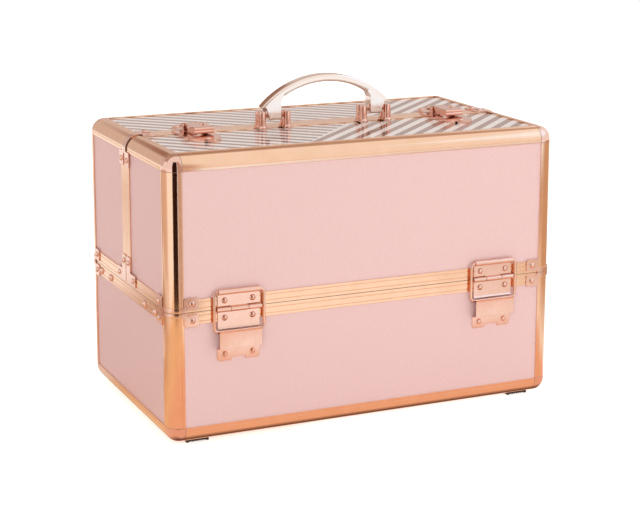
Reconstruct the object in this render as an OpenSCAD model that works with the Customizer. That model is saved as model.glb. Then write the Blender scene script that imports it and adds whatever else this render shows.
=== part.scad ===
// Makeup case with two lids that swing apart and carry cantilever trays.
// X runs across the front, the front faces -Y and +Z is up. The origin is on the
// floor, under the middle of the closed case.

/* [Case] */
// Width of the case across its front
case_w = 365; // [340:1:420]
// Depth of the closed case, front to back
case_d = 216; // [212:1:236]
// Height of the lower case, from its underside to the split
base_h = 113.5; // [95:0.5:150]
// Height of the lids, from the split to the top
lid_h = 132; // [126:0.5:160]
// Height of the rubber feet
foot_h = 2; // [1.5:0.5:8]
// Length and width of a foot
foot_size = [20, 12]; // [8:0.5:30]
// Distance of a foot's middle from the end of the case
foot_in = 27.5; // [20:0.5:60]
// Number of fine ribs on a foot
foot_ribs = 7; // [3:1:10]
// Gap between two closed halves
seam_gap = 0.3; // [0.2:0.1:0.6]

/* [Panels and frame] */
// Thickness of the laminated board panels
panel_t = 4; // [3:0.5:5]
// Depth of the panel faces below the faces of the metal frame
panel_inset = 1; // [0.8:0.1:1.4]
// Face width of the rounded edge extrusions
edge_w = 14; // [13:0.5:18]
// Outer radius of the edges and corners
edge_r = 12; // [8:0.5:12]
// Face width of the closing rails
rail_w = 10.5; // [10:0.5:14]
// Depth of the closing rails
rail_d = 8; // [7.5:0.5:9]
// Depth of the slots that hold the panel edges
slot_d = 5; // [3:0.5:5]
// Wall of the frame behind a panel
frame_wall = 1.2; // [0.8:0.1:1.6]
// Wall of the pressed corner caps
cap_t = 1; // [0.8:0.1:1]
// Thickness of the foam lining
lining_t = 1; // [0.8:0.1:1.6]

/* [Clips and rivets] */
// Thickness of the pressed clips and brackets
clip_t = 1; // [0.8:0.1:1.4]
// Height of the narrow band of a clip
clip_band = 4; // [3:0.5:6]
// Length and height of the plate of a clip
clip_plate = [13, 10.5]; // [9:0.5:13]
// Length of each leg of the corner brackets beside the top seam
bracket_leg = 24; // [20:1:32]
// Diameter of a rivet head
rivet_head = 5.4; // [4:0.2:7]
// Height of a rivet head
rivet_h = 1.6; // [1:0.1:2.4]
// Diameter of the larger rivet heads that hold the tray brackets
bolt_head = 7; // [5:0.5:8]
// Height of the larger rivet heads
bolt_h = 2.4; // [1.6:0.2:2.6]

/* [Stay hinges] */
// Distance of a stay hinge's middle from the end of the case
hinge_in = 61.5; // [54:0.5:90]
// Radius of the hinge knuckles
knuckle_r = 2.1; // [1.8:0.1:2.4]
// Diameter of the hinge pins
pin_d = 2.4; // [1.6:0.1:2.6]
// Lengths of the three knuckles, left to right
knuckle_len = [12.4, 15.6, 11.8]; // [9:0.2:16]
// Width of the hinge leaves
leaf_w = 37.5; // [30:0.5:44]
// Thickness of the hinge leaves
leaf_t = 1; // [0.8:0.1:1.2]
// Distance between the two rivets of a leaf
leaf_rivets = 25; // [20:0.5:28]
// Diameter of the ring's wire
ring_wire = 2.6; // [2:0.1:3]
// Distance between the middles of the ring's two long bars
ring_l = 34; // [32:0.5:36]
// Distance between the middles of the ring's side bars
ring_w = 44.4; // [44:0.2:50]
// Corner radius of the ring, at the middle of its wire
ring_r = 4; // [3:0.5:6]
// Height of the ring's upper bar above the hinge pin
ring_up = 15; // [14:0.5:16]
// Thickness of the spring plate that holds the ring
plate_t = 0.8; // [0.6:0.1:1]
// Width of the spring plate
plate_w = 38; // [30:0.5:42]

/* [Handle] */
// Height of the handle's top above the lid
handle_h = 45.5; // [42:0.5:60]
// Distance from the middle of the handle to the middle of a leg
leg_x = 49.2; // [44:0.1:56]
// Width of a handle leg
leg_w = 11; // [10:0.5:14]
// Size of the handle bar, front to back and up
bar_size = [12, 7]; // [6:0.2:13]
// Distance of the handle's pins in front of the seam
handle_y = 12; // [10.5:0.5:14]
// Height of the handle's pins above the lid
handle_pin_z = 10.5; // [9.5:0.5:12]
// Diameter of the handle's pins
handle_pin = 3; // [2.4:0.1:3.4]
// Radius of the posts that hold the handle, at the top
post_r = 3.1; // [2.6:0.1:3.4]

/* [Latches] */
// Distance of a latch's middle from the end of the case
latch_in = 61; // [56:0.5:90]
// Width of a latch lever
lever_w = 17.6; // [16:0.2:20]
// Length of a latch lever
lever_l = 27; // [22:0.5:32]
// Thickness of the latch metal
latch_t = 1.2; // [1:0.1:1.4]
// Diameter of the lock barrel
barrel_d = 6.4; // [5:0.2:6.6]
// Reach of a latch's plate to its left and to its right
latch_reach = [18.5, 12.5]; // [11:0.5:24]
// Length of the latch plate on the front lid
latch_plate_l = 58; // [50:1:70]

/* [Trays] */
// Length of a tray arm, from the case to the lower tray
arm_low = 36; // [34:1:40]
// Angle of the closed arms from upright
arm_rest = 45; // [40:1:48]
// Width and thickness of a tray arm
arm_size = [9, 1.5]; // [1:0.1:10]
// Diameter of the arm pivots
pivot_d = 4; // [3:0.2:5]
// Distance of the case pivots of the two arms from the front of the case
arm_front = [18, 35]; // [17:0.5:38]
// Distance between a closed tray and the front of the case
tray_gap = 15; // [15:0.5:22]
// Height of a tray
tray_h = 34; // [28:1:35]
// Wall of the moulded trays
tray_wall = 1.8; // [1.4:0.1:2.4]
// Number of cells along the lower tray
low_cells = 3; // [1:1:6]
// Number of cells along the upper tray
up_cells = 5; // [1:1:8]

/* [Hidden] */
$fn = 48;

rose = "#E9B090";
polished = "#F6C3A4";
blush = "#E5BFBD";
eps = 0.01;

// Half sizes of the case, and its main heights
hw = case_w / 2;
hd = case_d / 2;
split = foot_h + base_h;
top = split + lid_h;
half_gap = seam_gap / 2;
hinge_x = hw - hinge_in;
latch_x = hw - latch_in;

// Feet: width of the bead at each end, and heights of the ribs' tips and roots
foot_bead = 2;
rib_tip = 0.2;
rib_root = 1;

// Depths below the outer faces of the frame
panel_back = panel_inset + panel_t;
frame_in = panel_back + frame_wall;
// Clearance of a panel's edge in its slot, and of an extrusion from a cap
slot_fit = 0.3;
cap_fit = 0.2;
// Distance of a panel's edge from the outer face of an edge or of a rail
edge_seat = edge_w - slot_d + slot_fit;
rail_seat = rail_w - slot_d + slot_fit;
// Height of a rail's thick closing flange
flange_h = rail_w - 2.5;
// Fine grooves along the frame: width, depth and distance from the lip
groove = [0.5, 0.35];
groove_in = 2.8;

// Middles of the clip rivets
clip_start = 13.5;
clip_low = 1.9;
clip_rivet = [clip_start + clip_plate[0] / 2 + 0.8, clip_low + clip_plate[1] / 2];

// Hinge pin, proud of the face by the knuckle and a running gap
knuckle_gap = 0.3;
knuckle_play = 0.15;
pin_y = hd + knuckle_r + knuckle_gap;
pin_fit = 0.05;
barrel_l = knuckle_len[0] + knuckle_len[1] + knuckle_len[2];
leaf_start = knuckle_r + 0.5;
leaf_rivet_z = 7.4;
leaf_low = 16.8;
ring_fit = 0.08;
roll_in = ring_wire / 2 + ring_fit;
roll_y = hd + leaf_t + roll_in;
// The ring's lower bar swings out as the lid opens, and the plate clears it
ring_swing = 1.95;
plate_in = roll_y + ring_swing + ring_wire / 2 + 0.3;
plate_top = ring_l - ring_up - ring_wire / 2 - 0.3;
plate_step = 33;
plate_low = 45;
plate_rivet_z = 37.7 + 1.4;
notch = [13, 2.6];
notch_r = 1.4;
plate_r = 3;

// Handle
handle_z = top + handle_pin_z;
bar_top = top + handle_h;
nose_reach = 12.6;
nose_rise = 8.2;
nose_x = leg_x + nose_reach;
nose_low = handle_z + nose_rise;
nose_drop = bar_top - nose_low;
bar_out_r = (nose_x * nose_x + nose_drop * nose_drop) / (2 * nose_drop);
bar_cz = bar_top - bar_out_r;
bar_r = 2.4;
// Foot of a leg below its pin, its rounded edges, the round between leg and bar, and how far
// the leg's outer side stays inside the rounded edge of the bar's end
leg_foot = 3.7;
leg_round = 3;
leg_fillet = 6;
shoulder_in = 0.5;
lobe_y = 3.8;
post_play = 3.3;
post_in = leg_x - leg_w / 2 - post_r - post_play;
post_out = leg_x + leg_w / 2 + post_r + post_play;
post_top = handle_z + 4;

// Latch, measured from the top of the lid and from the seam
lever_pin_y = 6;
lever_pin_z = 5;
lever_pin_d = 2.3;
lever_top = 8.2;
lever_low = 2.4;
lever_roll = 1.7;
lever_back = 2.9;
ear_x = lever_w / 2 + 0.5;
bail_wire = 1.6;
bail_pin = [14, 4.4];
bail_bar = [1.9, 2.6];
bail_x = lever_w / 2 - latch_t - 0.5 - bail_wire / 2;
catch_tip = bail_bar[0] + 0.6;
catch_low = bail_bar[1] + bail_wire / 2 + 1.8;
catch_w = 9;
// Place of the lock barrel from the lever's pin, and the open rear end of the lever's top
barrel_at = [4.2, 12.5];
lever_slot = 4.8;
plate_gap = 0.4;
seam_clear = 1;
latch_straight = 34;
catch_reach = [13, 12];
catch_straight = 12;
catch_depth = 27;
hook_r = 1.9;
// Rivets of the latch plate, and of the catch's plate: across and away from the seam
latch_rivets = [[-3, 50]];
catch_rivets = [[-8.5, 16.5], [7.5, 16.5]];

// Trays: distances along X from the middle, and heights
bracket_t = 1.5;
arm_gap = 0.3;
bracket_in = hw - rail_d - bracket_t;
arm_out = bracket_in - arm_gap;
arm_in = arm_out - arm_size[1];
tray_half = arm_in - 0.4;
pivot_z = split - 5.5;
tray_in = 5;
tray_lift = 13.5;
arm_y = [hd - arm_front[0], hd - arm_front[1]];
tray_d = hd - tray_in - tray_gap;
// The arms end this far from the inner side of the upper tray
arm_end_in = 4.36;
arm_l = (arm_y[1] - tray_in - arm_end_in) / sin(arm_rest);
low_z = split + tray_lift;
up_z = low_z + (arm_l - arm_low) * cos(arm_rest);
head_t = 1.1;
head_d = 7;
tray_r = 4;
pin_root = 1.2;
bracket_h = 11;
bracket_low = 12.5;
bolt_z = 5.7;
case_bolts = [hd - 32.4, hd - 60.2];

// Repeats its children on the right end as well
module both_ends() {
  children();
  mirror([1, 0, 0]) children();
}

// Repeats its children at the rear as well
module front_and_rear() {
  children();
  mirror([0, 1, 0]) children();
}

module at_rear() {
  mirror([0, 1, 0]) children();
}

// Round corner of a square, its outer corner at the origin
module corner_2d(r, w) {
  intersection() {
    square(w);
    union() {
      translate([r, r]) circle(r);
      translate([r, 0]) square(w);
      translate([0, r]) square(w);
    }
  }
}

// Corner of a box with rounded edges, w on each side
module corner_3d(r, w) {
  intersection() {
    cube(w);
    union() {
      translate([r, r, r]) {
        sphere(r);
        cylinder(r = r, h = w);
        rotate([0, 90, 0]) cylinder(r = r, h = w);
        rotate([-90, 0, 0]) cylinder(r = r, h = w);
      }
      translate([r, r, 0]) cube(w);
      translate([r, 0, r]) cube(w);
      translate([0, r, r]) cube(w);
    }
  }
}

// Section of an edge extrusion, with a slot for a panel in each leg
module edge_profile() {
  difference() {
    corner_2d(edge_r, edge_w);
    translate([frame_in, frame_in]) square(edge_w);
    for (flip = [0, 1]) mirror([flip, -flip]) {
      translate([edge_w - slot_d, panel_inset]) square([slot_d + 1, panel_t]);
      translate([edge_w - groove_in, -eps]) square(groove + [0, eps]);
    }
  }
}

// Edge extrusion along +Z, its legs along +X and +Y
module edge_z(l) {
  linear_extrude(l) edge_profile();
}

// Edge extrusion along +X, its legs along +Y and +Z
module edge_x(l) {
  rotate([90, 0, 90]) edge_z(l);
}

// Edge extrusion along -Y, its legs along +X and +Z
module edge_y(l) {
  rotate([90, 0, 0]) edge_z(l);
}

// Closing rail along +X: its depth runs along +Y and its face along +Z
module rail(l) {
  rotate([90, 0, 90]) linear_extrude(l) difference() {
    square([rail_d, rail_w]);
    translate([frame_in, flange_h]) square(rail_d);
    translate([panel_inset, rail_w - slot_d]) square([panel_t, slot_d + 1]);
    for (z = [groove_in, rail_w - groove_in])
      translate([-eps, z]) square([groove[1] + eps, groove[0]]);
  }
}

// Pressed cap over a corner, its outer corner at the origin
module corner_cap() {
  slot = edge_w - slot_d;
  difference() {
    corner_3d(edge_r, edge_w);
    translate(cap_t * [1, 1, 1]) corner_3d(edge_r - cap_t, edge_w);
    translate([slot, slot, panel_inset]) cube([edge_w, edge_w, panel_t]);
    translate([slot, panel_inset, slot]) cube([edge_w, panel_t, edge_w]);
    translate([panel_inset, slot, slot]) cube([panel_t, edge_w, edge_w]);
  }
}

// Rectangle with round corners made of plain squares and circles
module rounded(size, r) {
  translate([r, 0]) square([size[0] - 2 * r, size[1]]);
  translate([0, r]) square([size[0], size[1] - 2 * r]);
  for (x = [r, size[0] - r], y = [r, size[1] - r]) translate([x, y]) circle(r);
}

// Domed rivet head standing on z = 0
module rivet(d = rivet_head, h = rivet_h) {
  r = (d * d / 4 + h * h) / (2 * h);
  intersection() {
    translate([0, 0, h - r]) sphere(r);
    cylinder(d = d + 1, h = h + 1);
  }
}

module rivet_front(x, y, z) {
  translate([x, y, z]) rotate([90, 0, 0]) rivet();
}

module rivet_left(x, y, z, d = rivet_head, h = rivet_h) {
  translate([x, y, z]) rotate([0, -90, 0]) rivet(d, h);
}

// Clip round an edge that ends at z = 0: a band with a riveted plate on each face.
// The edge's outer corner is the origin and its faces run along +X and +Y.
module corner_clip() {
  band_reach = clip_start + 2;
  translate([0, 0, -half_gap - clip_band]) linear_extrude(clip_band) difference() {
    translate([-clip_t, -clip_t]) corner_2d(edge_r + clip_t, band_reach + clip_t);
    corner_2d(edge_r, band_reach + 1);
  }
  for (flip = [0, 1]) mirror([flip, -flip, 0])
    translate([clip_start, 0, -clip_low - clip_plate[1]])
      rotate([90, 0, 0]) linear_extrude(clip_t) rounded(clip_plate, 2);
}

// The two rivets of a corner clip
module clip_rivets() {
  for (flip = [0, 1]) mirror([flip, -flip, 0])
    translate([clip_rivet[0], -clip_t, -clip_rivet[1]]) rotate([90, 0, 0]) rivet();
}

// Places a clip on the four corners of the case at the split, going down
module at_base_corners() {
  front_and_rear() both_ends() translate([-hw, -hd, split]) children();
}

// The same for the front corners of a lid, going up
module at_lid_corners() {
  both_ends() translate([-hw, -hd, split]) mirror([0, 0, 1]) children();
}

// And for the top edges at the ends of a lid, beside the seam
module at_seam_ends() {
  both_ends() translate([-hw, 0, top]) rotate([-90, 0, 0]) children();
}

// Lower case

module base_bottom_panel() {
  color("#8A6A66") translate([-hw + edge_seat, -hd + edge_seat, foot_h + panel_inset])
    cube([case_w - 2 * edge_seat, case_d - 2 * edge_seat, panel_t]);
}

module base_front_panel() {
  color(blush) translate([-hw + edge_seat, -hd + panel_inset, foot_h + edge_seat])
    cube([case_w - 2 * edge_seat, panel_t, base_h - edge_seat - rail_seat - half_gap]);
}

module base_left_panel() {
  color(blush) translate([-hw + panel_inset, -hd + edge_seat, foot_h + edge_seat])
    cube([panel_t, case_d - 2 * edge_seat, base_h - edge_seat - rail_seat - half_gap]);
}

module base_corner_posts() {
  color(rose) front_and_rear() both_ends() translate([-hw, -hd, foot_h + edge_w + cap_fit])
    edge_z(base_h - edge_w - cap_fit - half_gap);
}

module base_bottom_edges() {
  long = case_w - 2 * (edge_w + cap_fit);
  short = case_d - 2 * (edge_w + cap_fit);
  color(rose) {
    front_and_rear() translate([-long / 2, -hd, foot_h]) edge_x(long);
    both_ends() translate([-hw, short / 2, foot_h]) edge_y(short);
  }
}

module base_rim_rails() {
  long = case_w - 2 * (edge_w + cap_fit);
  short = case_d - 2 * (edge_w + cap_fit);
  color(rose) translate([0, 0, split - half_gap]) mirror([0, 0, 1]) {
    front_and_rear() translate([-long / 2, -hd, 0]) rail(long);
    both_ends() translate([-hw, short / 2, 0]) rotate([0, 0, -90]) rail(short);
  }
}

module base_corner_caps() {
  color(polished) front_and_rear() both_ends() translate([-hw, -hd, foot_h]) corner_cap();
}

module base_corner_clips() {
  color(polished) at_base_corners() corner_clip();
}

// Ribbed rubber bar: a sole with a bead at each end and fine teeth between
module foot() {
  end = foot_size[0] / 2;
  start = -end + foot_bead;
  pitch = (foot_size[0] - 2 * foot_bead) / foot_ribs;
  teeth = [for (i = [0 : foot_ribs - 1], tooth = [[0, rib_root], [0.5, rib_tip]])
    [start + (i + tooth[0]) * pitch, tooth[1]]];
  translate([0, foot_size[1], 0]) rotate([90, 0, 0]) linear_extrude(foot_size[1])
    polygon(concat([[-end, foot_h], [-end, 0.3], [-end + 0.3, 0], [start, 0]], teeth,
      [[-start, rib_root], [-start, 0], [end - 0.3, 0], [end, 0.3], [end, foot_h]]));
}

module base_feet() {
  foot_x = hw - foot_in;
  color("#2A2422") front_and_rear() for (x = [-foot_x, foot_x])
    translate([x, -hd + edge_r - 3, 0]) foot();
}

module base_lining() {
  low = foot_h + edge_w + 1;
  high = split - rail_w - 1;
  color("#D9A9A6") {
    translate([-hw + edge_w + 1, -hd + edge_w + 1, foot_h + panel_back])
      cube([case_w - 2 * edge_w - 2, case_d - 2 * edge_w - 2, lining_t]);
    front_and_rear() translate([-hw + edge_w + 1, -hd + panel_back, low])
      cube([case_w - 2 * edge_w - 2, lining_t, high - low]);
    both_ends() translate([-hw + panel_back, -hd + edge_w + 1, low])
      cube([lining_t, case_d - 2 * edge_w - 2, high - low]);
  }
}

// Steel strips inside the ends of the case, with a pivot pin for each arm
module tray_brackets() {
  long = arm_y[0] + 6;
  short = case_bolts[1] - 6;
  color("#B9B4B0") front_and_rear() both_ends() {
    translate([-bracket_in - bracket_t, -long, split - bracket_low]) rotate([90, 0, 90])
      linear_extrude(bracket_t) rounded([long - short, bracket_h], 3);
    for (y = arm_y) translate([-bracket_in - bracket_t / 2, -y, pivot_z]) rotate([0, 90, 0]) {
      cylinder(d = pivot_d, h = bracket_t / 2 + arm_size[1] + 2 * arm_gap + head_t / 2);
      translate([0, 0, bracket_t / 2 + arm_size[1] + 2 * arm_gap]) cylinder(d = head_d, h = head_t);
    }
  }
}

// Three knuckles in a row; the leaf of the middle one is the upper leaf
module knuckles(which) {
  starts = [0, knuckle_len[0], knuckle_len[0] + knuckle_len[1]];
  for (i = which) {
    first = i == 0 ? 0 : knuckle_play;
    last = i == 2 ? 0 : knuckle_play;
    translate([-barrel_l / 2 + starts[i] + first, -pin_y, split]) rotate([0, 90, 0])
      cylinder(r = knuckle_r, h = knuckle_len[i] - first - last);
    // Root that ties the knuckle to the leaf on the face of the frame
    translate([-barrel_l / 2 + starts[i] + first, -hd - leaf_t, split + (i == 1 ? 0.5 : -leaf_start - 0.2)])
      cube([knuckle_len[i] - first - last, leaf_t, leaf_start - 0.3]);
  }
}

module pin_bore() {
  translate([-barrel_l, -pin_y, split]) rotate([0, 90, 0])
    cylinder(r = pin_d / 2 + pin_fit, h = 2 * barrel_l);
}

module hinge_lower_leaf() {
  difference() {
    union() {
      knuckles([0, 2]);
      translate([-leaf_w / 2, -hd, split]) rotate([90, 0, 90]) linear_extrude(leaf_w)
        polygon([[0, -leaf_start], [-leaf_t, -leaf_start], [-leaf_t, -leaf_low + 1.6],
          [-leaf_t - 0.9, -leaf_low + 0.3], [-leaf_t - 0.9, -leaf_low], [0, -leaf_low]]);
    }
    pin_bore();
  }
}

module at_hinges() {
  for (x = [-hinge_x, hinge_x]) translate([x, 0, 0]) children();
}

module hinge_lower_leaves() {
  color(polished) front_and_rear() at_hinges() hinge_lower_leaf();
}

module hinge_pins() {
  color("#D8A88C") front_and_rear() at_hinges()
    translate([-barrel_l / 2 - 0.3, -pin_y, split]) rotate([0, 90, 0])
      cylinder(d = pin_d, h = barrel_l + 0.6);
}

// Spring plate: a riveted flange with round corners and a notch, and a raised channel for the ring's bar
module stay_plate() {
  w = plate_w;
  face = hd - panel_inset;
  out = plate_in + plate_t;
  translate([-w / 2, 0, split]) difference() {
    intersection() {
      rotate([90, 0, 90]) linear_extrude(w) polygon([
        [-face, -plate_low], [-face - clip_t, -plate_low], [-face - clip_t, -plate_step - 1.6],
        [-out, -plate_step], [-out, -plate_top - 1.8], [-out - 1, -plate_top], [-out, -plate_top],
        [-plate_in, -plate_top - 1.8], [-plate_in, -plate_step + 0.6], [-face, -plate_step - 0.8]]);
      translate([0, 0, -plate_low]) rotate([90, 0, 0]) linear_extrude(2 * hd)
        rounded([w, plate_low], plate_r);
    }
    translate([(w - notch[0]) / 2, 0, -plate_low - notch[1]]) rotate([90, 0, 0]) linear_extrude(2 * hd)
      rounded([notch[0], 2 * notch[1]], notch_r);
  }
}

module stay_plates() {
  color(polished) front_and_rear() at_hinges() stay_plate();
}

module base_rivets() {
  color(polished) {
    at_base_corners() clip_rivets();
    front_and_rear() {
      at_hinges() for (x = [-leaf_rivets / 2, leaf_rivets / 2]) {
        rivet_front(x, -hd - leaf_t, split - leaf_rivet_z);
        rivet_front(x, -hd + panel_inset - clip_t, split - plate_rivet_z);
      }
      both_ends() for (y = case_bolts) rivet_left(-hw, -y, split - bolt_z, bolt_head, bolt_h);
    }
  }
}

// Lids: each module below is the front lid's piece, and the rear lid's is its mirror image

module lid_panel() {
  color(blush) translate([-hw + edge_seat, -hd + panel_inset, split + half_gap + rail_seat])
    cube([case_w - 2 * edge_seat, panel_t, lid_h - half_gap - edge_seat - rail_seat]);
}

module lid_top_panel() {
  color("#EFE3E0") translate([-hw + edge_seat, -hd + edge_seat, top - panel_back])
    cube([case_w - 2 * edge_seat, hd - edge_seat - rail_seat - half_gap, panel_t]);
}

module lid_left_panel() {
  color(blush) translate([-hw + panel_inset, -hd + edge_seat, split + half_gap + rail_seat])
    cube([panel_t, hd - edge_seat - rail_seat - half_gap, lid_h - half_gap - edge_seat - rail_seat]);
}

module lid_edges() {
  long = case_w - 2 * (edge_w + cap_fit);
  short = hd - edge_w - cap_fit - half_gap;
  color(rose) {
    both_ends() translate([-hw, -hd, split + half_gap]) edge_z(lid_h - half_gap - edge_w - cap_fit);
    translate([0, 0, top]) mirror([0, 0, 1]) {
      translate([-long / 2, -hd, 0]) edge_x(long);
      both_ends() translate([-hw, -half_gap, 0]) edge_y(short);
    }
  }
}

module lid_rails() {
  long = case_w - 2 * (edge_w + cap_fit);
  short = hd - edge_w - rail_w - half_gap - 2 * cap_fit;
  color(rose) {
    translate([0, 0, split + half_gap]) {
      translate([-long / 2, -hd, 0]) rail(long);
      both_ends() translate([-hw, -half_gap - rail_w - cap_fit, 0]) rotate([0, 0, -90]) rail(short);
    }
    both_ends() translate([-hw, -half_gap, split + half_gap]) mirror([0, 1, 0])
      rotate([0, -90, -90]) rail(lid_h - half_gap - edge_w - cap_fit);
    translate([-long / 2, -half_gap, top]) mirror([0, 1, 0]) rotate([-90, 0, 0]) rail(long);
  }
}

module lid_caps() {
  color(polished) both_ends() translate([-hw, -hd, top]) mirror([0, 0, 1]) corner_cap();
}

// L-shaped bracket on an end, in the corner between the split and the top seam
module seam_bracket() {
  w = clip_plate[1];
  translate([-hw, -clip_low + 1.2, split + clip_low]) rotate([0, -90, 0]) linear_extrude(clip_t)
    mirror([0, 1]) {
      rounded([bracket_leg, w], 2);
      rounded([w, bracket_leg], 2);
    }
}

module lid_clips() {
  color(polished) {
    at_lid_corners() corner_clip();
    at_seam_ends() corner_clip();
    both_ends() seam_bracket();
  }
}

module lid_rivets() {
  color(polished) {
    at_lid_corners() clip_rivets();
    at_seam_ends() clip_rivets();
    both_ends() {
      rivet_left(-hw - clip_t, -clip_low - 4.2, split + clip_low + bracket_leg - 5.6);
      rivet_left(-hw - clip_t, -clip_low - bracket_leg + 7, split + clip_low + 5.2);
    }
    at_hinges() for (x = [-leaf_rivets / 2, leaf_rivets / 2])
      rivet_front(x, -hd - leaf_t, split + leaf_rivet_z);
  }
}

// Upper leaf, with its top edge rolled round the ring's bar
module hinge_upper_leaf() {
  difference() {
    union() {
      knuckles([1]);
      translate([-leaf_w / 2, -hd - leaf_t, split + leaf_start])
        cube([leaf_w, leaf_t, ring_up - leaf_start]);
      translate([-leaf_w / 2, -roll_y, split + ring_up]) rotate([0, 90, 0])
        cylinder(r = roll_in + leaf_t, h = leaf_w);
    }
    translate([-leaf_w, -roll_y, split + ring_up]) rotate([0, 90, 0])
      cylinder(r = roll_in, h = 2 * leaf_w);
    pin_bore();
  }
}

module hinge_leaves() {
  color(polished) at_hinges() hinge_upper_leaf();
}

module lid_lining() {
  low = split + rail_w + 1;
  high = top - edge_w - 1;
  depth = hd - edge_w - rail_w - 2;
  color("#D9A9A6") {
    translate([-hw + edge_w + 1, -hd + panel_back, low])
      cube([case_w - 2 * edge_w - 2, lining_t, high - low]);
    translate([-hw + edge_w + 1, -hd + edge_w + 1, top - panel_back - lining_t])
      cube([case_w - 2 * edge_w - 2, depth, lining_t]);
    both_ends() translate([-hw + panel_back, -hd + edge_w + 1, low])
      cube([lining_t, depth, high - low]);
  }
}

// Handle

// Post of two tapered pillars on a flared foot, bored for the handle's pin
module handle_post(x) {
  translate([x, -handle_y, 0]) difference() {
    union() {
      for (y = [-lobe_y, lobe_y]) translate([0, y, top]) {
        cylinder(r1 = post_r + 0.5, r2 = post_r, h = post_top - top);
        cylinder(r = post_r + 1.4, h = 1.2);
        translate([0, 0, 1.2]) cylinder(r1 = post_r + 1.4, r2 = post_r + 0.4, h = 1.2);
      }
      translate([-post_r + 0.6, -lobe_y, top]) cube([2 * post_r - 1.2, 2 * lobe_y, post_top - top - 1]);
      // Spigot that reaches the panel below the level of the rail
      translate([-post_r, -lobe_y - 2, top - panel_inset])
        cube([2 * post_r, handle_y - rail_w, panel_inset]);
    }
    translate([-2 * post_r, 0, handle_z]) rotate([0, 90, 0])
      cylinder(r = handle_pin / 2 + pin_fit, h = 4 * post_r);
  }
}

module handle_posts() {
  color(polished) both_ends() {
    handle_post(-post_in);
    handle_post(-post_out);
  }
}

module handle_pins() {
  l = post_out - post_in + 2 * post_r + 0.4;
  color("#D8A88C") both_ends() translate([-post_out - post_r - 0.2, -handle_y, handle_z])
    rotate([0, 90, 0]) cylinder(d = handle_pin, h = l);
}

module handle() {
  sweep = asin(nose_x / bar_out_r) + 2;
  color("#F7DCD2") translate([0, -handle_y, 0]) difference() {
    union() {
      intersection() {
        translate([0, 0, bar_cz]) rotate([90, 0, 0]) rotate([0, 0, 90 - sweep])
          rotate_extrude(angle = 2 * sweep, $fn = 160)
            translate([bar_out_r - bar_size[1], -bar_size[0] / 2])
              rounded([bar_size[1], bar_size[0]], bar_r);
        translate([-nose_x - 1, -bar_size[0], nose_low]) cube([2 * nose_x + 2, 2 * bar_size[0], handle_h]);
      }
      both_ends() handle_leg();
    }
    for (x = [-leg_x, leg_x]) translate([x - leg_w, 0, handle_z]) rotate([0, 90, 0])
      cylinder(r = handle_pin / 2 + pin_fit, h = 2 * leg_w);
  }
}

// Height at which an arc of the bar stands over x
function bar_z(r, x) = bar_cz + sqrt(r * r - x * x);

// Right leg of the handle: it spreads outwards to the end of the bar and is rounded below
module handle_leg() {
  inner = leg_x - leg_w / 2;
  outer = leg_x + leg_w / 2;
  flat_r = bar_out_r - bar_r;
  mid_r = bar_out_r - bar_size[1] / 2;
  shoulder = sqrt(flat_r * flat_r - (nose_low - bar_cz) * (nose_low - bar_cz)) - shoulder_in;
  foot_z = handle_z - leg_foot;
  fillet = leg_fillet_arc(inner);
  intersection() {
    translate([0, bar_size[0] / 2, 0]) rotate([90, 0, 0]) linear_extrude(bar_size[0])
      polygon(concat([[inner, foot_z], [outer, foot_z], [outer, handle_z], [shoulder, nose_low],
        [outer, bar_z(mid_r, outer)], [fillet[0][0], bar_z(mid_r, fillet[0][0])]], fillet));
    translate([0, -bar_size[0] / 2, foot_z]) rotate([90, 0, 90]) linear_extrude(2 * nose_x)
      rounded([bar_size[0], 2 * handle_h], leg_round);
  }
}

// Round between the underside of the bar and the inner side of a leg, from the bar down
function leg_fillet_arc(inner) =
  let (under_r = bar_out_r - bar_size[1],
       turn = 90 - asin(inner / under_r),
       start = bar_z(under_r, inner) - leg_fillet * tan(turn / 2))
  [for (i = [6 : -1 : 0]) [inner - leg_fillet, start] + leg_fillet * [cos(turn * i / 6), sin(turn * i / 6)]];

// Latches

// Plan of a latch's plate: straight sides that end in half an ellipse, with the seam at y = 0
module plate_plan(reach, straight, l) {
  half = (reach[0] + reach[1]) / 2;
  translate([(reach[1] - reach[0]) / 2, 0]) polygon(concat([[half, 0], [-half, 0]],
    [for (a = [180 : -12 : 0]) [half * cos(a), straight + (l - straight) * sin(a)]]));
}

// Pressed plate that lies on the frame beside the seam and steps down to the panel
module latch_plate(reach, straight, l) {
  for (step = [[seam_clear, top, latch_t], [rail_w + plate_gap, top - panel_inset, panel_inset]])
    translate([0, 0, step[1]]) linear_extrude(step[2]) mirror([0, 1]) intersection() {
      plate_plan(reach, straight, l);
      translate([-2 * l, step[0]]) square(4 * l);
    }
}

module latch_base() {
  difference() {
    union() {
      latch_plate(latch_reach, latch_straight, latch_plate_l);
      for (x = [-ear_x - latch_t, ear_x]) translate([x, -lever_pin_y, top]) rotate([90, 0, 90])
        linear_extrude(latch_t) ear_2d();
    }
    translate([-lever_w, -lever_pin_y, top + lever_pin_z]) rotate([0, 90, 0])
      cylinder(r = lever_pin_d / 2 + pin_fit, h = 2 * lever_w);
  }
}

// Rivets through a latch's plate
module plate_rivets(places) {
  color(polished) for (x = [-latch_x, latch_x], p = places)
    translate([x + p[0], -p[1], top + latch_t]) rivet();
}

// Upright ear that carries the lever's pin
module ear_2d() {
  translate([0, lever_pin_z]) circle(2.8);
  translate([-4, 0]) square([6.8, lever_pin_z - 1]);
  translate([-2.8, 0]) square([5.6, lever_pin_z]);
}

module latch_bases() {
  color(polished) for (x = [-latch_x, latch_x]) translate([x, 0, 0]) latch_base();
}

// Draws across the latch what is a side view from the lever's pin
module at_lever_pin() {
  translate([0, -lever_pin_y, top + lever_pin_z]) rotate([90, 0, 90]) children();
}

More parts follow.
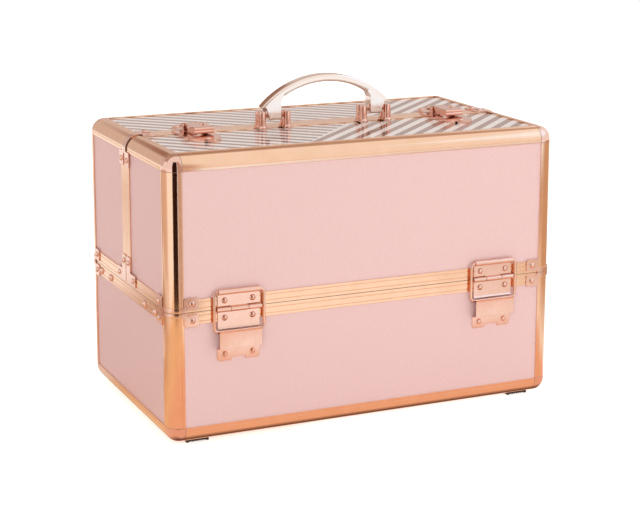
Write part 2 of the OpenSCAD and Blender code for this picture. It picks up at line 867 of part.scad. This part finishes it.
// Folded lever with a pin on each cheek, and its lock barrel
module lever() {
  difference() {
    at_lever_pin() {
      translate([0, 0, -lever_w / 2]) linear_extrude(lever_w) lever_side();
      cylinder(d = lever_pin_d, h = 2 * (ear_x + latch_t + 0.3), center = true);
    }
    at_lever_pin() translate([0, 0, latch_t - lever_w / 2])
      linear_extrude(lever_w - 2 * latch_t) lever_hollow();
    translate([0, -bail_pin[0], top + bail_pin[1]]) rotate([0, 90, 0])
      cylinder(r = bail_wire / 2 + pin_fit, h = lever_w + 2, center = true);
  }
  translate([barrel_at[0], -lever_pin_y - barrel_at[1], top + lever_top]) lock_barrel();
}

// Lock barrel with its key slot, its face just above z = 0
module lock_barrel() {
  difference() {
    translate([0, 0, -4]) cylinder(d = barrel_d, h = 4.6);
    translate([-0.4, -2, 0]) cube([0.8, 4, 1]);
  }
}

// Side view of the lever, from its pin: its front edge is rolled into two beads, one above the other
module lever_side() {
  rise = lever_top - lever_pin_z;
  drop = lever_pin_z - lever_low;
  front = -lever_l + lever_roll;
  circle(lever_back);
  polygon([[0, lever_back], [0, -drop], [front, -drop], [front, rise], [-3, rise]]);
  for (z = [rise - lever_roll, lever_roll - drop]) translate([front, z]) circle(lever_roll);
}

// Space inside the lever, open below and above the bail at its rear
module lever_hollow() {
  rise = lever_top - lever_pin_z;
  rear = lever_back + 1;
  front = -lever_l + 2 * lever_roll;
  translate([front, -4]) square([rear - front, 4 + rise - latch_t]);
  translate([-lever_slot, -4]) square([lever_slot + rear, 5 + rise]);
}

// Wire bail: its ends turn outwards into the lever and its bar lies below the catch
module bail() {
  run = bail_pin[0] - bail_bar[0];
  fall = bail_pin[1] - bail_bar[1];
  l = sqrt(run * run + fall * fall);
  translate([0, -bail_pin[0], top + bail_pin[1]]) {
    for (x = [-1, 1]) {
      translate([x * (bail_x - bail_wire / 2), 0, 0]) rotate([0, x * 90, 0])
        cylinder(d = bail_wire, h = lever_w / 2 - 0.1 - bail_x + bail_wire / 2);
      translate([x * bail_x, 0, 0]) rotate([-90 - atan(fall / run), 0, 0])
        cylinder(d = bail_wire - 0.1, h = l);
    }
    translate([-bail_x - bail_wire / 2, run, -fall]) rotate([0, 90, 0])
      cylinder(d = bail_wire, h = 2 * bail_x + bail_wire);
  }
}

// Catch: a plate on the rear lid with a rolled hook over the bail's bar
module latch_catch() {
  wall = [3.2, 7.2];
  height = catch_low + latch_t;
  mirror([0, 1, 0]) latch_plate(catch_reach, catch_straight, catch_depth);
  translate([-catch_w / 2, 0, top]) rotate([90, 0, 90]) linear_extrude(catch_w)
    polygon([[wall[0], 0], [wall[0], catch_low], [-catch_tip, catch_low], [-catch_tip, height],
      [wall[1] - 1.2, height], [wall[1], catch_low], [wall[1], 0]]);
  translate([-catch_w / 2 - 4, wall[1] - hook_r, top + height - hook_r]) rotate([0, 90, 0])
    cylinder(r = hook_r, h = catch_w + 8);
}

module latch_catches() {
  color(polished) for (x = [-latch_x, latch_x]) translate([x, 0, 0]) latch_catch();
}

// Stay rings

module ring() {
  straight = ring_l - 2 * ring_r;
  across = ring_w - 2 * ring_r;
  translate([0, -roll_y, split + ring_up - ring_l / 2]) {
    for (z = [-ring_l / 2, ring_l / 2]) translate([-across / 2, 0, z]) rotate([0, 90, 0])
      cylinder(d = ring_wire, h = across);
    for (x = [-ring_w / 2, ring_w / 2]) translate([x, 0, -straight / 2])
      cylinder(d = ring_wire, h = straight);
    for (a = [0 : 90 : 270]) rotate([0, a, 0]) {
      dx = a % 180 == 0 ? across / 2 : straight / 2;
      dz = a % 180 == 0 ? straight / 2 : across / 2;
      translate([dx, 0, dz]) rotate([90, 0, 0]) rotate_extrude(angle = 90)
        translate([ring_r, 0]) circle(d = ring_wire);
    }
  }
}

module stay_rings() {
  color(polished) at_hinges() ring();
}

// Trays and arms: the front ones, and the rear ones are their mirror image

// Arms at both ends whose case pivots are y in front of the middle
module arms(y) {
  color("#B9B4B0") both_ends() translate([-arm_out, -y, pivot_z]) rotate([-arm_rest, 0, 0]) arm();
}

// One flat arm along +Z from its case pivot, with a hole for each pivot
module arm() {
  w = arm_size[0];
  rotate([90, 0, 90]) linear_extrude(arm_size[1]) difference() {
    union() {
      circle(d = w);
      translate([-w / 2, 0]) square([w, arm_l]);
      translate([0, arm_l]) circle(d = w);
    }
    for (z = [0, arm_low, arm_l]) translate([0, z]) circle(d = pivot_d + 2 * pin_fit);
  }
}

// Moulded tray with round corners, cross walls and a pin for each arm
module tray(z, reach, cells) {
  l = 2 * tray_half;
  cell = (l - tray_wall) / cells;
  translate([-tray_half, -tray_in - tray_d, z]) {
    difference() {
      linear_extrude(tray_h) rounded([l, tray_d], tray_r);
      translate([0, 0, tray_wall]) linear_extrude(tray_h)
        translate([tray_wall, tray_wall])
          rounded([l - 2 * tray_wall, tray_d - 2 * tray_wall], tray_r - tray_wall);
    }
    for (i = [1 : 1 : cells - 1]) translate([i * cell, tray_wall / 2, tray_wall / 2])
      cube([tray_wall, tray_d - tray_wall, tray_h - 4 - tray_wall / 2]);
  }
  both_ends() for (y = arm_y)
    translate([-tray_half, -y + reach * sin(arm_rest), pivot_z + reach * cos(arm_rest)])
      rotate([0, -90, 0]) {
        translate([0, 0, -pin_root]) cylinder(d = pivot_d, h = pin_root + arm_size[1] + 0.8);
        translate([0, 0, arm_size[1] + 0.7]) cylinder(d = head_d, h = head_t - 0.2);
      }
}

module lower_tray() {
  color("#F3E4E1") tray(low_z, arm_low, low_cells);
}

module upper_tray() {
  color("#F3E4E1") tray(up_z, arm_l, up_cells);
}

base_bottom_panel();
base_front_panel();
at_rear() base_front_panel();  // base_rear_panel
base_left_panel();
mirror([1, 0, 0]) base_left_panel();  // base_right_panel
base_corner_posts();
base_bottom_edges();
base_rim_rails();
base_corner_caps();
base_corner_clips();
base_feet();
base_lining();
tray_brackets();
hinge_lower_leaves();
hinge_pins();
stay_plates();
base_rivets();
lid_panel();  // front_lid_panel
lid_top_panel();  // front_lid_top_panel
lid_left_panel();  // front_lid_left_panel
mirror([1, 0, 0]) lid_left_panel();  // front_lid_right_panel
lid_edges();  // front_lid_edges
lid_rails();  // front_lid_rails
lid_caps();  // front_lid_caps
lid_clips();  // front_lid_clips
union() {  // front_lid_rivets
  lid_rivets();
  plate_rivets(latch_rivets);
}
hinge_leaves();  // front_hinge_leaves
lid_lining();  // front_lid_lining
handle_posts();
handle_pins();
latch_bases();
at_rear() lid_panel();  // rear_lid_panel
at_rear() lid_top_panel();  // rear_lid_top_panel
at_rear() lid_left_panel();  // rear_lid_left_panel
at_rear() mirror([1, 0, 0]) lid_left_panel();  // rear_lid_right_panel
at_rear() lid_edges();  // rear_lid_edges
at_rear() lid_rails();  // rear_lid_rails
at_rear() lid_caps();  // rear_lid_caps
at_rear() lid_clips();  // rear_lid_clips
at_rear() {  // rear_lid_rivets
  lid_rivets();
  plate_rivets(catch_rivets);
}
at_rear() hinge_leaves();  // rear_hinge_leaves
at_rear() lid_lining();  // rear_lid_lining
latch_catches();
stay_rings();  // front_stay_rings
at_rear() stay_rings();  // rear_stay_rings
handle();
translate([-latch_x, 0, 0]) color(polished) lever();  // left_latch_lever
translate([latch_x, 0, 0]) color(polished) lever();  // right_latch_lever
translate([-latch_x, 0, 0]) color(polished) bail();  // left_latch_bail
translate([latch_x, 0, 0]) color(polished) bail();  // right_latch_bail
arms(arm_y[0]);  // front_outer_arms
arms(arm_y[1]);  // front_inner_arms
lower_tray();  // front_lower_tray
upper_tray();  // front_upper_tray
at_rear() arms(arm_y[0]);  // rear_outer_arms
at_rear() arms(arm_y[1]);  // rear_inner_arms
at_rear() lower_tray();  // rear_lower_tray
at_rear() upper_tray();  // rear_upper_tray
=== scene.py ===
# A rose gold makeup case: laminated boards in an aluminium frame, two lids that swing apart,
# stay hinges, latches, a folding handle and cantilever trays inside.
import math
import bpy
from mathutils import Matrix, Vector


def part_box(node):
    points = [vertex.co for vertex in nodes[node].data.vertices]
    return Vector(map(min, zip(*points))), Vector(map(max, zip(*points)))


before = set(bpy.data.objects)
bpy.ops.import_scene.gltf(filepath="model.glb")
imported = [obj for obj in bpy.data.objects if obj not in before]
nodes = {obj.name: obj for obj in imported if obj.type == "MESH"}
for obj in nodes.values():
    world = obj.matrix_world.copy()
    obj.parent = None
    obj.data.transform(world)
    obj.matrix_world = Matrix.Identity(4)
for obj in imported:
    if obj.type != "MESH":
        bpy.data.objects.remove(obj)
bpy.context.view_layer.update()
MM = 0.001

# Camera. It stands in front of the case's left corner, a little above the lids, where the
# photograph was taken, and looks slightly over the case; the small shift sets it in the frame.
azimuth, elevation, roll = (math.radians(a) for a in (-24.18, 11.39, 0.12))
distance, aim_side, aim_rise = 1560.8 * MM, 1.8 * MM, 66.8 * MM
focal_length, film_width = 95.86, 36
drop_pixels, picture_pixels = 79, 640
case_middle = Vector((0, 0, 125.5 * MM))
back = Vector((math.sin(azimuth) * math.cos(elevation), -math.cos(azimuth) * math.cos(elevation),
               math.sin(elevation)))
level = (-back).cross(Vector((0, 0, 1))).normalized()
upright = level.cross(-back)
right = level * math.cos(roll) + upright * math.sin(roll)
up = upright * math.cos(roll) - level * math.sin(roll)
camera = bpy.data.objects.new("camera", bpy.data.cameras.new("camera"))
bpy.context.collection.objects.link(camera)
camera.location = case_middle + back * distance + right * aim_side + up * aim_rise
camera.rotation_mode = "QUATERNION"
camera.rotation_quaternion = Matrix((right, up, back)).transposed().to_quaternion()
camera.data.sensor_width = film_width
camera.data.lens = focal_length
camera.data.shift_y = -drop_pixels / picture_pixels
bpy.context.scene.camera = camera
bpy.context.scene.view_settings.view_transform = "Standard"


# Studio. The case stands on white paper in a white room. A wide soft key light comes from the
# front left, weaker ones from the right, from low in front, from above and from behind, and a
# warm one from the left. Gloss shows none of the lamps, only the room and the cards further on.
def linear(hex_colour):
    """An sRGB hex colour as linear red, green, blue and alpha."""
    parts = [int(hex_colour[i:i + 2], 16) / 255 for i in (1, 3, 5)]
    return (*(c / 12.92 if c <= 0.04045 else ((c + 0.055) / 1.055) ** 2.4 for c in parts), 1)


def add(tree, kind, inputs=(), **settings):
    """Adds a node; inputs pairs each socket with a value or with the output that feeds it."""
    made = tree.nodes.new(kind)
    for name, value in settings.items():
        setattr(made, name, value)
    for socket, value in inputs:
        if isinstance(value, bpy.types.NodeSocket):
            tree.links.new(value, made.inputs[socket])
        else:
            made.inputs[socket].default_value = value
    return made


def background_rays(tree):
    """1 for rays that show the background: from the camera, off gloss or through glass."""
    rays = add(tree, "ShaderNodeLightPath")
    shown = rays.outputs["Is Camera Ray"]
    for kind in ("Is Glossy Ray", "Is Transmission Ray"):
        shown = add(tree, "ShaderNodeMath", [(0, shown), (1, rays.outputs[kind])],
                    operation="MAXIMUM").outputs[0]
    return shown


def bare_material(name):
    """A material with an empty node tree; returns both."""
    made = bpy.data.materials.new(name)
    made.use_nodes = True
    made.node_tree.nodes.clear()
    return made, made.node_tree


def card(name, middle, facing, size, material):
    """A flat rectangle of the given size whose face looks from its middle to a point."""
    half_width, half_height = size[0] / 2, size[1] / 2
    middle = Vector(middle)
    normal = (Vector(facing) - middle).normalized()
    side = Vector((0, 0, 1)).cross(normal)
    lies_flat = side.length < 0.01
    side = Vector((1, 0, 0)) if lies_flat else side.normalized()
    rise = normal.cross(side)
    corners = [middle + side * a * half_width + rise * b * half_height
               for a, b in ((-1, -1), (1, -1), (1, 1), (-1, 1))]
    mesh = bpy.data.meshes.new(name)
    mesh.from_pydata(corners, [], [(0, 1, 2, 3)])
    mesh.uv_layers.new(name="face").data.foreach_set("uv", (0, 0, 1, 0, 1, 1, 0, 1))
    mesh.materials.append(material)
    made = bpy.data.objects.new(name, mesh)
    bpy.context.collection.objects.link(made)
    return made


def softbox(name, place, size, watts, colour="#FFFFFF"):
    """A square studio light that looks at the middle of the case."""
    lamp = bpy.data.lights.new(name, "AREA")
    lamp.size = size
    lamp.energy = watts
    lamp.color = linear(colour)[:3]
    made = bpy.data.objects.new(name, lamp)
    made.location = place
    made.rotation_mode = "QUATERNION"
    made.rotation_quaternion = (case_middle - Vector(place)).to_track_quat("-Z", "Y")
    made.visible_glossy = False
    bpy.context.collection.objects.link(made)


room_light, room_white = 0.55, 1.0
world = bpy.data.worlds.new("studio")
bpy.context.scene.world = world
world.use_nodes = True
tree = world.node_tree
tree.nodes.clear()
ambient = add(tree, "ShaderNodeBackground", [("Color", linear("#FFFCF9")), ("Strength", room_light)])
white = add(tree, "ShaderNodeBackground", [("Color", linear("#FFFFFF")), ("Strength", room_white)])
room = add(tree, "ShaderNodeMixShader", [(0, background_rays(tree)), (1, ambient.outputs[0]),
                                         (2, white.outputs[0])])
add(tree, "ShaderNodeOutputWorld", [("Surface", room.outputs[0])])

paper_size, paper_glow = (14, 14), 0.6
below_the_feet = (0, 0, -0.2 * MM)
paper, tree = bare_material("white_paper")
glow = add(tree, "ShaderNodeMath", [(0, background_rays(tree)), (1, paper_glow)], operation="MULTIPLY")
matt = add(tree, "ShaderNodeBsdfDiffuse", [("Color", linear("#EFEEED"))])
lit = add(tree, "ShaderNodeEmission", [("Color", linear("#FFFFFF")), ("Strength", glow.outputs[0])])
lit_paper = add(tree, "ShaderNodeAddShader", [(0, matt.outputs[0]), (1, lit.outputs[0])])
add(tree, "ShaderNodeOutputMaterial", [("Surface", lit_paper.outputs[0])])
card("floor", below_the_feet, (0, 0, 1), paper_size, paper)

softbox("key_light", (-0.9, -2.1, 1.0), 1.6, 17.5)
softbox("fill_light", (1.9, -1.2, 0.9), 1.4, 6.5)
softbox("low_light", (0.25, -0.7, 0.05), 0.5, 1.25)
softbox("top_light", (0.1, 0.3, 2.1), 1.6, 10)
softbox("rear_light", (0.7, 2.3, 0.8), 1.6, 14)
softbox("left_light", (-2.0, 0.5, 0.5), 1.2, 7, "#FFD2BF")


# Reflectors. Polished metal shows what stands round it, so cards lie on the floor and stand about
# the case where it shows a pale, brown or dark field. Only gloss sees them, and their rims fade,
# as an unsharp reflection does. All places and sizes here are in metres.
def reflector(name, middle, facing, size, colour, level, edge):
    """A card that glows in gloss at a level; its rim fades over the part edge of its half size."""
    made, tree = bare_material(name)
    place = add(tree, "ShaderNodeTexCoord")
    parts = add(tree, "ShaderNodeSeparateXYZ", [(0, place.outputs["UV"])])
    rim = []
    for axis in ("X", "Y"):
        off = add(tree, "ShaderNodeMath", [(0, parts.outputs[axis]), (1, 0.5)], operation="SUBTRACT")
        off = add(tree, "ShaderNodeMath", [(0, off.outputs[0])], operation="ABSOLUTE")
        rim.append(add(tree, "ShaderNodeMapRange", [("Value", off.outputs[0]), ("From Min", 0.5),
                                                    ("From Max", 0.5 - edge / 2)],
                       interpolation_type="SMOOTHSTEP").outputs[0])
    cover = add(tree, "ShaderNodeMath", [(0, rim[0]), (1, rim[1])], operation="MULTIPLY")
    lit = add(tree, "ShaderNodeEmission", [("Color", linear(colour)), ("Strength", level)])
    clear = add(tree, "ShaderNodeBsdfTransparent")
    both = add(tree, "ShaderNodeMixShader", [(0, cover.outputs[0]), (1, clear.outputs[0]),
                                             (2, lit.outputs[0])])
    add(tree, "ShaderNodeOutputMaterial", [("Surface", both.outputs[0])])
    shown = card(name, middle, facing, size, made)
    shown.visible_camera = shown.visible_shadow = shown.visible_diffuse = False


case_low, case_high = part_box("base_corner_posts")
case_width, case_depth = (case_high - case_low)[:2]
# How far the painted shadow under the case reaches past its footprint, in metres.
painted_shadow_margin = 0.003

# Each row: name, layer, middle, size, colour, level, edge. A card hides those on lower layers; the
# amber card and the end card share a layer, and gloss mixes them where they overlap.
card_step = 0.5 * MM
floor_cards = (
    ("floor_card", 2, (0, 0), (9, 9), "#FFFFFF", 1.12, 0.1),
    ("bright_card", 3, (0.55, -1.3), (2.2, 0.9), "#DCEEFF", 1.4, 0.4),
    ("peach_card", 4, (-0.3, -0.23), (0.54, 0.7), "#F8D3AB", 1.0, 0.2),
    ("amber_card", 6, (-0.38, 0.18), (0.6, 0.6), "#CD9A7B", 0.8, 0.8),
    ("end_card", 6, (-1.0, 0.45), (1.5, 1.5), "#F2D6C4", 0.85, 0.5),
    # Painted shade and painted bounce light: a peach strip on the floor just before the case. It stands in
    # for the case's shadow there and the pink light the case throws onto the floor, as the bottom edges
    # mirror them.
    ("front_shade_and_bounce_card", 7, (0, -0.2), (0.7, 0.28), "#F5C4A8", 1.0, 0.35),
    ("right_card", 8, (1.2, -0.4), (2.0, 1.7), "#D2B194", 1.0, 0.4),
    # Painted shadow: a dark sheet under the case, a little larger than its footprint, that stands in for
    # the case's own shadow on the floor. Only gloss sees it, so the bottom edges mirror it as a dark rim.
    ("painted_shadow_card", 9, (0, 0), (case_width + painted_shadow_margin, case_depth + painted_shadow_margin), "#5A3A2C", 1.0, 0.06))
for name, layer, (x, y), size, colour, strength, edge in floor_cards:
    reflector(name, (x, y, layer * card_step), (x, y, 1), size, colour, strength, edge)


def from_corner(degrees, metres):
    """A point that far from the front left corner, at a bearing from straight in front."""
    bearing, middle_height = math.radians(degrees), 0.36
    return (case_low.x + metres * math.sin(bearing), case_low.y - metres * math.cos(bearing), middle_height)


# The two cards before the corner draw the dark and the brown line down its round post; the rest
# are what the top edges, the striped tops and the handle show.
corner = from_corner(0, 0)
reflector("dark_card", from_corner(-22, 0.385), corner, (0.28, 0.82), "#2C1208", 1.0, 0.06)
reflector("brown_card", from_corner(12, 0.397), corner, (0.174, 0.82), "#C9AB9C", 1.0, 0.15)
reflector("wall_card", (1.75, -1.2, 1.9), (0, -1.2, 1.9), (3.2, 2.4), "#D2E8FF", 1.7, 0.5)
reflector("ceiling_card", (-0.4, 1.3, 1.5), (-0.4, 1.3, 0), (3.4, 2.4), "#C4AC9F", 1.0, 0.2)
reflector("beam_card", (0, 0.7, 1.45), (0, 0.7, 0), (1.3, 0.13), "#5A3626", 1.0, 0.3)
reflector("rear_card", (0, 2.2, 0.9), (0, 0, 0.4), (6, 1.8), "#D9CCC6", 1.0, 0.2)
reflector("shade_card", (-0.25, 2.1, 1.25), (-0.25, 0, 0.6), (1.4, 0.6), "#9A7262", 1.0, 0.5)


# Laminated boards. Each panel is a thin fibreboard whose edges are held in the slots of the frame.
# Its face is melamine laminate, pressed over a pearl print, which gives a close shimmer that is
# drawn out sideways and a soft, even sheen.
def new_material(name, colour, metallic, roughness):
    """A material of one principled shader; returns it with its tree and that shader.

    The plain values given here stand wherever no pattern takes their place."""
    made = bpy.data.materials.new(name)
    made.use_nodes = True
    shader = made.node_tree.nodes["Principled BSDF"]
    shader.inputs["Base Color"].default_value = linear(colour)
    shader.inputs["Metallic"].default_value = metallic
    shader.inputs["Roughness"].default_value = roughness
    return made, made.node_tree, shader


def grain(tree, size, stretch=(1, 1, 1), detail=2.0):
    """Noise whose grains measure size millimetres, drawn out along the axes by stretch.

    Real grains under a tenth of a millimetre are drawn at 0.3 to 0.8, coarse enough to show."""
    place = add(tree, "ShaderNodeTexCoord")
    scaled = add(tree, "ShaderNodeMapping", [("Vector", place.outputs["Object"]),
                                             ("Scale", tuple(1 / s for s in stretch))])
    return add(tree, "ShaderNodeTexNoise", [("Vector", scaled.outputs[0]), ("Scale", 1 / (size * MM)),
                                            ("Detail", detail)]).outputs["Fac"]


noise_low, noise_high = 0.3, 0.7        # most of a noise lies between these


def two_tone(tree, shader, noise, low, high):
    """Lets the shader's colour run from low to high with a noise."""
    part = add(tree, "ShaderNodeMapRange", [("Value", noise), ("From Min", noise_low),
                                            ("From Max", noise_high)])
    colour = add(tree, "ShaderNodeMix", [(0, part.outputs[0]), (6, linear(low)), (7, linear(high))],
                 data_type="RGBA")
    tree.links.new(colour.outputs[2], shader.inputs["Base Color"])


def polish(tree, shader, noise, low, high):
    """Lets the shader's roughness run from low to high with a noise."""
    part = add(tree, "ShaderNodeMapRange", [("Value", noise), ("From Min", noise_low),
                                            ("From Max", noise_high), ("To Min", low), ("To Max", high)])
    tree.links.new(part.outputs[0], shader.inputs["Roughness"])


def relief(tree, shader, noise, depth):
    """Bumps the shader by a noise of the given depth in millimetres."""
    bump = add(tree, "ShaderNodeBump", [("Height", noise), ("Distance", depth * MM)])
    tree.links.new(bump.outputs[0], shader.inputs["Normal"])


def wear(names, material):
    """Gives each named CAD node its material."""
    for name in names:
        held = nodes[name].data.materials
        held.clear()
        held.append(material)


laminate, tree, shader = new_material("pearl_pink_laminate", "#E6BEBA", 0.0, 0.42)
two_tone(tree, shader, grain(tree, 0.7, (2, 1, 1)), "#DFB9B5", "#E8C3BF")
polish(tree, shader, grain(tree, 0.5), 0.38, 0.48)
relief(tree, shader, grain(tree, 0.45), 0.01)
shader.inputs["Specular IOR Level"].default_value = 0.3
wear(["base_" + side + "_panel" for side in ("front", "rear", "left", "right", "bottom")], laminate)
wear([lid + part for lid in ("front_lid_", "rear_lid_") for part in ("panel", "left_panel", "right_panel")],
     laminate)

# Striped tops. The two top panels are faced with glossy white laminate that carries printed
# mirror stripes of rose foil; they slant one way on the left of a slanting line that runs through
# fold_point, and the other way on its right. Lengths here are in millimetres.
stripe_pitch, stripe_slant = 13.4, math.radians(44)
right_start, left_start = -1.98, -1.29
fold_point, fold_slant = (-29.5, -69), math.radians(47)
print_blur = 0.05
stripes, tree, shader = new_material("white_laminate_with_rose_foil", "#F4ECE9", 0.0, 0.13)
place = add(tree, "ShaderNodeTexCoord")
axes = add(tree, "ShaderNodeSeparateXYZ", [(0, place.outputs["Object"])])


def across(slant, offset):
    """Distance in metres from a line of that slant through the middle, moved by millimetres."""
    part_x = add(tree, "ShaderNodeMath", [(0, axes.outputs["X"]), (1, -math.sin(slant))],
                 operation="MULTIPLY")
    both = add(tree, "ShaderNodeMath", [(0, axes.outputs["Y"]), (1, math.cos(slant)),
                                        (2, part_x.outputs[0])], operation="MULTIPLY_ADD")
    return add(tree, "ShaderNodeMath", [(0, both.outputs[0]), (1, offset * MM)],
               operation="ADD").outputs[0]


def foil(distance):
    """1 on a foil stripe and 0 on the white between: the sign of a sine wave, a little blurred."""
    wave = add(tree, "ShaderNodeMath", [(0, distance), (1, 2 * math.pi / (stripe_pitch * MM))],
               operation="MULTIPLY")
    wave = add(tree, "ShaderNodeMath", [(0, wave.outputs[0])], operation="SINE")
    return add(tree, "ShaderNodeMapRange", [("Value", wave.outputs[0]), ("From Min", -print_blur),
                                            ("From Max", print_blur)]).outputs[0]


fold_offset = fold_point[0] * math.sin(fold_slant) - fold_point[1] * math.cos(fold_slant)
left_of_fold = add(tree, "ShaderNodeMath", [(0, across(fold_slant, fold_offset)), (1, 0.0)],
                   operation="GREATER_THAN").outputs[0]
on_foil = add(tree, "ShaderNodeMix", [(0, left_of_fold), (2, foil(across(stripe_slant, right_start))),
                                      (3, foil(across(-stripe_slant, left_start)))]).outputs[0]
colour = add(tree, "ShaderNodeMix", [(0, on_foil), (6, linear("#F3E9E6")), (7, linear("#B59C91"))],
             data_type="RGBA")
tree.links.new(colour.outputs[2], shader.inputs["Base Color"])
tree.links.new(on_foil, shader.inputs["Metallic"])
polish(tree, shader, grain(tree, 3), 0.1, 0.16)
wear(("front_lid_top_panel", "rear_lid_top_panel"), stripes)


# Frame. Aluminium is extruded through a die in two sections, a round one for the corner posts and
# edges and a flat one for the closing rails, then anodised rose gold, which leaves a fine satin
# tooth and long, soft reflections.
def soften(names, width):
    """Breaks the sharp edges of CAD nodes by width millimetres and smooths their round faces."""
    same_point, same_plane, sharp = 0.01 * MM, math.radians(0.5), math.radians(32)
    large_faces_first = 100
    for name in names:
        held = nodes[name]
        held.data.shade_smooth()
        held.modifiers.new("weld", "WELD").merge_threshold = same_point
        flat = held.modifiers.new("flat", "DECIMATE")
        flat.decimate_type = "DISSOLVE"
        flat.angle_limit = same_plane
        edge = held.modifiers.new("edge", "BEVEL")
        edge.width = width * MM
        edge.segments = 2
        edge.limit_method = "ANGLE"
        edge.angle_limit = sharp
        edge.use_clamp_overlap = True
        held.modifiers.new("even", "WEIGHTED_NORMAL").weight = large_faces_first


aluminium, tree, shader = new_material("rose_gold_anodised_aluminium", "#F6CAAA", 1.0, 0.11)
satin = grain(tree, 0.35, detail=1)
two_tone(tree, shader, grain(tree, 14), "#F4C8A7", "#F8CDAE")
polish(tree, shader, satin, 0.08, 0.14)
relief(tree, shader, satin, 0.004)
extrusions = ("base_corner_posts", "base_bottom_edges", "base_rim_rails", "front_lid_edges",
              "front_lid_rails", "rear_lid_edges", "rear_lid_rails")
wear(extrusions, aluminium)
soften(extrusions, 0.15)


# Pressed steel. Corner caps, clips, hinge leaves, stay plates and rings, pins and rivets are
# stamped from sheet or drawn from wire, polished and plated rose gold, so they mirror the studio
# and show bright broken edges.
def plating(name, colour, low, high):
    """Polished rose gold plating whose tint and polish wander a little, as a bath leaves them."""
    made, tree, shader = new_material(name, colour, 1.0, 0.1)
    two_tone(tree, shader, grain(tree, 9), low, high)
    polish(tree, shader, grain(tree, 2.5), 0.07, 0.13)
    return made


plated = plating("rose_gold_plated_steel", "#EFC5B2", "#EDC2AE", "#F2C9B8")
pressings = ["base_corner_caps", "base_corner_clips", "base_rivets", "hinge_lower_leaves", "hinge_pins",
             "stay_plates"]
pressings += [side + part for side in ("front_", "rear_")
              for part in ("lid_caps", "lid_clips", "lid_rivets", "hinge_leaves", "stay_rings")]
wear(pressings, plated)
soften(pressings, 0.2)

# Latches and handle posts. They are pressed from thicker sheet, bent from wire or turned, and
# take a deeper, redder plating than the frame's fittings. Rivets hold the latch plates to the
# lids, and a spigot under each post reaches the front lid's top panel.
deep_plated = plating("deep_rose_plated_steel", "#ECBCA9", "#E8B5A1", "#F0C3B1")
fittings = ("latch_bases", "latch_catches", "left_latch_lever", "right_latch_lever", "left_latch_bail",
            "right_latch_bail", "handle_posts", "handle_pins")
wear(fittings, deep_plated)
soften(fittings, 0.2)

# Handle. A zinc casting, ground smooth and plated a paler rose gold than the frame, so that it
# mirrors the room in broad, soft fields. It turns on two pins between its posts.
pale_gold, tree, shader = new_material("pale_gold_plated_zinc", "#F4E2D6", 1.0, 0.14)
polish(tree, shader, grain(tree, 6), 0.09, 0.16)
wear(("handle",), pale_gold)
soften(("handle",), 0.8)

# Feet. Rubber pads, moulded with ribs and pressed into the bottom edge. The rubber is nearly
# black and dull, with a fine moulded tooth.
rubber, tree, shader = new_material("black_moulded_rubber", "#3E2A21", 0.0, 0.6)
polish(tree, shader, grain(tree, 0.8), 0.5, 0.7)
relief(tree, shader, grain(tree, 0.3), 0.02)
shader.inputs["Specular IOR Level"].default_value = 0.2
wear(("base_feet",), rubber)

# Lining. Thin foam sheet with a felted pink face, glued inside the boards. Its short fibres give
# it a mottled colour and a faint sheen.
felt, tree, shader = new_material("pink_felted_foam", "#DDAEAB", 0.0, 0.9)
two_tone(tree, shader, grain(tree, 0.6, detail=4), "#D39F9C", "#E6BBB8")
relief(tree, shader, grain(tree, 0.35), 0.12)
shader.inputs["Sheen Weight"].default_value = 0.4
wear(("base_lining", "front_lid_lining", "rear_lid_lining"), felt)

# Trays. Moulded from pale pink ABS in a tool with a fine spark texture, which leaves a low, even
# gloss. Their edges are rounded, as a moulded tray's are.
abs_plastic, tree, shader = new_material("pale_pink_moulded_abs", "#F3DDD9", 0.0, 0.38)
polish(tree, shader, grain(tree, 1.5), 0.34, 0.44)
relief(tree, shader, grain(tree, 0.4), 0.03)
trays = [side + tray for side in ("front_", "rear_") for tray in ("lower_tray", "upper_tray")]
wear(trays, abs_plastic)
soften(trays, 0.5)

# Tray arms and brackets. Strips of rolled steel, bright zinc plated, which shows a cool grey with
# a soft gloss beside the gold; each arm turns on a pin of its bracket. The grain is drawn out in
# the plane of the strips.
zinc, tree, shader = new_material("bright_zinc_plated_steel", "#CFCBC8", 1.0, 0.25)
polish(tree, shader, grain(tree, 0.4, (1, 6, 6)), 0.2, 0.34)
linkage = ["tray_brackets"]
linkage += [side + arms for side in ("front_", "rear_") for arms in ("outer_arms", "inner_arms")]
wear(linkage, zinc)
soften(linkage, 0.2)
